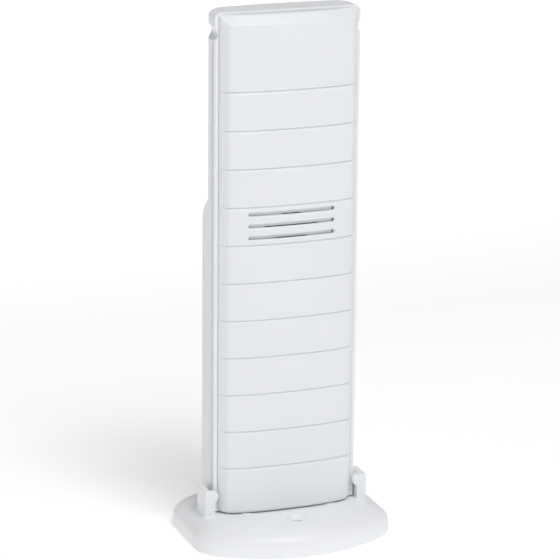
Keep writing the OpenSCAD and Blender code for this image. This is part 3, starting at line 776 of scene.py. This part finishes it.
# ---- Aerial ----------------------------------------------------------------------------------
# A stiff enamelled copper wire. It rises beside the board, bends once, and runs across under the
# lid of the case.

copper = metal("enamelled_copper", (0.72, 0.34, 0.16), 0.25, (60, 60, 900))
aerial_x, aerial_low, aerial_high, aerial_bend, aerial_r = 15.2, 119.0, 133.0, 2.0, 0.4
points = [(aerial_x, board_back + aerial_r, aerial_low + i * 2) for i in range(6)]
points += [(aerial_x - aerial_bend + x, board_back + aerial_r, aerial_high - aerial_bend + z)
           for x, z in arc(0, 0, aerial_bend, 0, 90, 10)]
points += [(aerial_x - aerial_bend - 3 * i, board_back + aerial_r, aerial_high) for i in range(1, 8)]
points.append((-11, board_back + aerial_r, aerial_high))
finish(wire("aerial", points, aerial_r, 14), "aerial_wire", "case", copper,
       ["antenna_wire"], 60)
drop = [(0.9, board_back), (0.7, board_back + 0.3), (0.45, board_back + 0.75)]
tin(turned(drop, (aerial_x, 0, aerial_low + 0.6), "Y", 20), "aerial_solder")

# ---- Front case ------------------------------------------------------------------------------
# The front half of the case: a white ABS plate with a raised rim that frames the cover, a housing
# over the cells, and a vent box in front of the sensors. The box's face is bowed to lie just behind
# the cover and has three short slots.

plate_back = -1.3
slot_pitch = 3.0
vent_y, vent_w, vent_low, vent_high = -4.2, 20.5, slot_z - 8, slot_z + 5.4
vent_half = (4.6, 7.5, 2.9)
face_half, face_rise, face_depth = 10.95, 4.4, 0.98
housing_y, housing_w = -3.7, 26.4
cover_low = 7.15
cover_edge_y, cover_bow, bow_half, corner_from = -4.6, 2.25, 17.5, 16.3
leg_at = [(-14.5, 27), (14.5, 27), (-14.5, 113), (14.5, 113)]
leg_w, leg_h = 1.2, 5.0
gap = 0.3


def bow(x):
    """Y of the cover's face at x, carried on straight past its last part."""
    def curve(v):
        t = (v / bow_half) ** 2
        return cover_edge_y - cover_bow * (0.36 * (1 - t) + 0.64 * (1 - t * t))
    x = abs(x)
    if x <= corner_from:
        return curve(x)
    lean = (curve(corner_from) - curve(corner_from - 0.01)) / 0.01
    return curve(corner_from) + lean * (x - corner_from)


def bowed_block(half, low, high, depth, back, edge):
    """A block whose front follows the cover's bow, at a depth behind the cover's face."""
    rings = []
    for z, inset in ((low, edge), (low + edge * 0.3, edge * 0.3), (low + edge, 0),
                     (high - edge, 0), (high - edge * 0.3, edge * 0.3), (high, edge)):
        front_side = [(half * i / 12, bow(half * i / 12) + depth + inset, z) for i in range(-12, 13)]
        rings.append(front_side + [(half, back, z), (-half, back, z)])
    return moulding("bowed block", rings)


rim_rows = [(rim_y + 0.14, 1.62), (rim_y + 0.14, 1.1), (rim_y + 0.1, 0.98), (rim_y + 0.03, 0.88),
            (rim_y, 0.78), (rim_y, 0.36), (rim_y + 0.05, 0.2), (rim_y + 0.16, 0.07), (rim_y + 0.34, 0),
            (seam_y - 0.14, 0), (seam_y - 0.02, 0.1)]
front = panel(case_w, cover_low, case_top, rim_r, [(rim_y, 1.66)] + rim_rows, low_r=low_corner_r)
weld(front, panel(vent_w, vent_low, vent_high, 0.9,
                  [(vent_y, 0.3), (vent_y + 0.09, 0.09), (vent_y + 0.3, 0), (rim_y + 0.6, 0)]))
weld(front, bowed_block(face_half, slot_z - face_rise, slot_z + face_rise, face_depth, vent_y + 0.5, 0.1))
weld(front, panel(housing_w, bay_low, bay_high + 1, 1.2,
                  [(housing_y, 0.35), (housing_y + 0.1, 0.1), (housing_y + 0.35, 0), (rim_y + 0.6, 0)]))
for x, z in board_screw_at:
    weld(front, turned([(2.2, plate_back - 0.5), (2, plate_back + 0.4), (2, board_y)], (x, 0, z), "Y"))
for x, z in case_screw_at:
    weld(front, turned([(2.6, plate_back - 0.5), (2.4, plate_back + 0.4), (2.4, 3.2)], (x, 0, z), "Y"))
box_wall = 1.2
carve(front, panel(vent_w - 2 * box_wall, vent_low + box_wall, vent_high - box_wall, 0.5,
                   [(vent_y + 1.1, 0), (0, 0)]))
carve(front, panel(housing_w - 2 * box_wall, bay_low + 0.4, bay_high - 0.2, 0.5,
                   [(housing_y + box_wall, 0), (0, 0)]))
for i in (-1, 0, 1):
    z = slot_z - vent_drop + i * slot_pitch
    half = vent_half[i + 1]
    carve(front, panel(2 * half, z - 0.7, z + 0.8, 0.7, [(bow(0) + 0.5, 0), (0, 0)], 10))
for x, z in leg_at:
    carve(front, block(x - leg_w / 2 - gap, x + leg_w / 2 + gap, rim_y - 1, 0.5,
                       z - leg_h / 2 - gap, z + leg_h / 2 + gap))
for x, z in board_screw_at:
    carve(front, turned([(0.8, -0.6), (0.8, board_y + 1)], (x, 0, z), "Y", 24))
for x, z in case_screw_at:
    carve(front, turned([(1, -0.6), (1, 4)], (x, 0, z), "Y", 24))
for side in (-1, 1):
    carve(front, notch_tool(side))
finish(front, "front_case_shell", "case", white, ["front_case"])

# ---- Screws ----------------------------------------------------------------------------------
# Zinc-plated pan-head screws for plastic, with a cross recess and a coarse thread. Two join the
# case halves from behind, and four hold the board.

zinc = metal("zinc_plate", (0.66, 0.67, 0.68), 0.3, (400, 400, 400))


def pan_screw(x, y, z, head_r, head_t, shank_r, shank_l):
    """A screw along -Y, with the underside of its head at y."""
    core = shank_r * 0.78
    profile = [(0.15, y - shank_l), (core * 0.7, y - shank_l + 0.35)]
    pitch = 0.8
    for i in range(int((shank_l - 0.8) / pitch)):
        h = y - shank_l + 0.5 + i * pitch
        profile += [(core, h), (shank_r, h + 0.3), (shank_r, h + 0.38), (core, h + 0.66)]
    profile += [(core, y), (head_r * 0.96, y), (head_r, y + 0.1), (head_r, y + head_t * 0.3),
                (head_r * 0.93, y + head_t * 0.62), (head_r * 0.72, y + head_t * 0.9),
                (head_r * 0.4, y + head_t), (0.1, y + head_t)]
    made = turned(profile, (x, 0, z), "Y", 40)
    arm, thick, floor_y = head_r * 0.55, 0.2, y + head_t * 0.4
    carve(made, block(x - arm, x + arm, floor_y, y + head_t + 1, z - thick, z + thick))
    carve(made, block(x - thick, x + thick, floor_y, y + head_t + 1, z - arm, z + arm))
    return made


screws = [pan_screw(x, 4.6, z, 2.1, 1.3, 0.98, 4.8) for x, z in case_screw_at]
finish(joined("screws", screws), "case_screw_pair", "case", zinc, ["case_screws"])
screws = [pan_screw(x, board_back, z, 1.8, 1.0, 0.78, 2.8) for x, z in board_screw_at]
finish(joined("screws", screws), "board_screw_set", "case", zinc, ["board_screws"])

# ---- Front cover -----------------------------------------------------------------------------
# The bowed, louvred cover: a 1.2 mm shell of white ABS that snaps on by four legs. Eleven grooves
# cross it and its top edge is bevelled. Three air slots, where the shell is thinned from behind,
# let the outdoor air in to the sensors.

cover_w = 36.0
cover_high, cover_back = 135.3, -2.55
cover_wall, slot_wall = 1.2, 0.8
bevel_z, bevel_lean = 132.8, 0.84
groove_low, groove_pitch, groove_count, groove_deep = 19.3, 9.7, 11, 0.45
slot_l, slot_h = 22.6, 0.95


def cover_path():
    """The cover's plan from left to right: (x, y, normal x, normal y, groove share)."""
    edge = (corner_from, bow(corner_from))
    turn_back, end = (17.86, -3.05), (cover_w / 2, cover_back)

    def between(a, b, t):
        return (a[0] + (b[0] - a[0]) * t, a[1] + (b[1] - a[1]) * t)

    def eased(a, b, c, n):
        rows = [(between(a, b, i / n), between(b, c, i / n), i / n) for i in range(n + 1)]
        return [between(p, q, t) for p, q, t in rows]

    start = (corner_from - 0.5, bow(corner_from - 0.5))
    corner = eased(start, edge, between(edge, turn_back, 0.22), 6)
    corner += [between(edge, turn_back, t) for t in (0.4, 0.6)]
    corner += eased(between(edge, turn_back, 0.82), turn_back, end, 6)
    flat = [(start[0] * i / 28, bow(start[0] * i / 28)) for i in range(28)]
    right = [(x, y, 1) for x, y in flat]
    for x, y in corner:
        past = max(0, (x - start[0]) / (cover_w / 2 - start[0]))
        right.append((x, y, max(0, 1 - past ** 2)))
    points = [(-x, y, share) for x, y, share in reversed(right[1:])] + right
    path = []
    for i, (x, y, share) in enumerate(points):
        a, b = points[max(i - 1, 0)], points[min(i + 1, len(points) - 1)]
        along = Vector((b[0] - a[0], b[1] - a[1])).normalized()
        path.append((x, y, along.y, -along.x, share))
    path[0] = (*path[0][:2], -1, 0, path[0][4])
    path[-1] = (*path[-1][:2], 1, 0, path[-1][4])
    return path


def cover_form():
    groove = [(0.42, 0), (0.24, 0.03), (0.15, 0.14), (0.1, 0.34), (0.04, 0.4), (-0.04, 0.38),
              (-0.2, 0.28), (-0.42, 0.155), (-0.66, 0.06), (-0.9, 0.015), (-1.15, 0)]
    low_r = 1.1
    rows = []
    for i in range(9):
        a = math.radians(90 * i / 8)
        rows.append((cover_low + low_r * (1 - math.cos(a)), low_r * (1 - math.sin(a)), 0))
    for i in range(groove_count):
        for dz, deep in reversed(groove):
            rows.append((groove_low + groove_pitch * i + dz, 0, deep * groove_deep / 0.4))
    path = cover_path()
    rings = []
    for z, inset, deep in rows:
        rings.append([(x - nx * (inset + deep * s), y - ny * (inset + deep * s), z)
                      for x, y, nx, ny, s in path])
    crease = [bevel_z + max(0, y - bow(x)) / bevel_lean for x, y, nx, ny, s in path]
    last = rows[-1][0]
    for t in (0.3, 0.7):
        rings.append([(x, y, last + (z0 - last) * t) for (x, y, nx, ny, s), z0 in zip(path, crease)])
    ease = 0.2
    for t, lean in ((-1, 0), (-0.5, 0.06), (0, 0.22), (0.5, 0.56), (1, 1)):
        ring = []
        for (x, y, nx, ny, s), z0 in zip(path, crease):
            room = min(ease, max(0.02, (cover_back - y) / bevel_lean * 0.5))
            z = z0 + t * room
            ring.append((x, min(cover_back, y + bevel_lean * room * lean), min(z, cover_high - 0.05)))
        rings.append(ring)
    for z in (cover_high - 0.4, cover_high - 0.12, cover_high):
        ring = []
        for (x, y, nx, ny, s), z0 in zip(path, crease):
            top = min(z, z0 + (cover_back - y) / bevel_lean)
            tuck = {0.4: 0, 0.12: 0.1, 0: 0.42}[round(cover_high - z, 2)]
            ring.append((x, min(cover_back, y + bevel_lean * (top - z0) + tuck), top))
        rings.append(ring)
    return moulding("cover", rings)


def slot_tool(z):
    """A slot cutter that flares at the bowed face."""
    rows = [(-2, 0.5), (-0.02, 0.36), (0.05, 0.22), (0.16, 0.1), (0.34, 0.02), (0.5, 0), (2.6, 0)]
    rings = []
    for deep, grow in rows:
        half, r = slot_l / 2 - slot_h / 2, slot_h / 2 + grow
        flat = [(half * i / 14, -r) for i in range(-14, 14)] + arc(half, 0, r, 270, 450, 12)
        flat += [(-half * i / 14, r) for i in range(-13, 14)] + arc(-half, 0, r, 90, 270, 12)[:-1]
        if deep == rows[0][0] or deep == rows[-1][0]:
            rings.append([(x, bow(0) + deep, z + dz) for x, dz in flat])
        else:
            rings.append([(x, bow(x) + deep, z + dz) for x, dz in flat])
    return moulding("slot", rings)


cover = cover_form()
inner = [(x - nx * cover_wall, y - ny * cover_wall) for x, y, nx, ny, s in cover_path()]
inner = [(inner[0][0], 1)] + inner + [(inner[-1][0], 1)]
carve(cover, moulding("hollow", [[(x, y, z) for x, y in inner]
                                 for z in (cover_low + cover_wall, bevel_z - 0.7)]))
carve(cover, bowed_block(face_half + gap, slot_z - face_rise - gap, slot_z + face_rise + gap,
                         slot_wall, cover_edge_y + 1.6, 0.1))
for i in (-1, 0, 1):
    carve(cover, slot_tool(slot_z + i * slot_pitch))
for x, z in leg_at:
    weld(cover, block(x - leg_w / 2, x + leg_w / 2, cover_edge_y - 0.4, -0.3,
                      z - leg_h / 2, z + leg_h / 2, 0.12))
# Painted shade: the cover is the same white ABS as the case, but its tint is made darker to stand in for
# less light on its face.
cover_white_painted_shade = satin_abs("cover_satin_abs_painted_shade", (0.827, 0.843, 0.866))
finish(cover, "louvred_cover", "cover", cover_white_painted_shade, ["front_cover"])

# ---- Floor, light and camera -----------------------------------------------------------------
# A plain pale floor under a soft pale sky. Three soft boxes light the transmitter from above and
# from the left, one more lights the floor behind it, and the camera looks down on its left front.

floor = moulding("floor", [[(-4000, -4000, z), (4000, -4000, z), (4000, 4000, z), (-4000, 4000, z)]
                           for z in (-20, -0.02)])
floor_paint = bpy.data.materials.new("floor_paint")
floor_paint.use_nodes = True
floor_shader = floor_paint.node_tree.nodes["Principled BSDF"]
floor_shader.inputs["Base Color"].default_value = (0.97, 0.97, 0.97, 1)
floor_shader.inputs["Roughness"].default_value = 0.8
floor_shader.inputs["Emission Color"].default_value = (1, 1, 1, 1)
floor_shader.inputs["Emission Strength"].default_value = 0.3
floor.data.materials.append(floor_paint)


def softbox(name, place, aim, size, power):
    lamp = bpy.data.lights.new(name, "AREA")
    lamp.shape = "RECTANGLE"
    lamp.size, lamp.size_y = size
    lamp.energy = power
    made = placed(name, lamp)
    made.location = place
    made.rotation_mode = "QUATERNION"
    made.rotation_quaternion = (Vector(place) - Vector(aim)).to_track_quat("Z", "Y")


softbox("main", (0.05, -0.62, 0.95), (0, 0, 0.06), (0.5, 0.35), 4.05)
softbox("right", (0.18, -0.49, 1.15), (0, 0, 0.13), (0.4, 0.3), 2.2)
softbox("left", (-1.0, -0.3, 0.4), (0, 0, 0.07), (0.6, 0.6), 0.8)
softbox("backdrop", (0, 0.45, 0.55), (0, 1.55, 0), (0.8, 0.5), 3.2)

world = bpy.data.worlds.new("studio")
world.use_nodes = True
world.node_tree.nodes["Background"].inputs["Color"].default_value = (1, 1, 1, 1)
world.node_tree.nodes["Background"].inputs["Strength"].default_value = 0.36
bpy.context.scene.world = world
bpy.context.scene.view_settings.view_transform = "Standard"

camera = placed("camera", bpy.data.cameras.new("camera"))
camera.data.sensor_width = 36
camera.data.lens = 189.36
turn, tilt, roll = math.radians(-20.5), math.radians(15.983), 0.0092765
aim, away = Vector((-2.43, -4.6, 67.57)) * mm, 0.73545
backward = Vector((math.sin(turn) * math.cos(tilt), -math.cos(turn) * math.cos(tilt), math.sin(tilt)))
level = backward.cross(Vector((0, 0, -1))).normalized()
upright = backward.cross(level)
across = level * math.cos(roll) + upright * math.sin(roll)
above = upright * math.cos(roll) - level * math.sin(roll)
facing = Matrix((across, above, backward)).transposed().to_4x4()
camera.matrix_world = Matrix.Translation(aim + backward * away) @ facing
bpy.context.scene.camera = camera
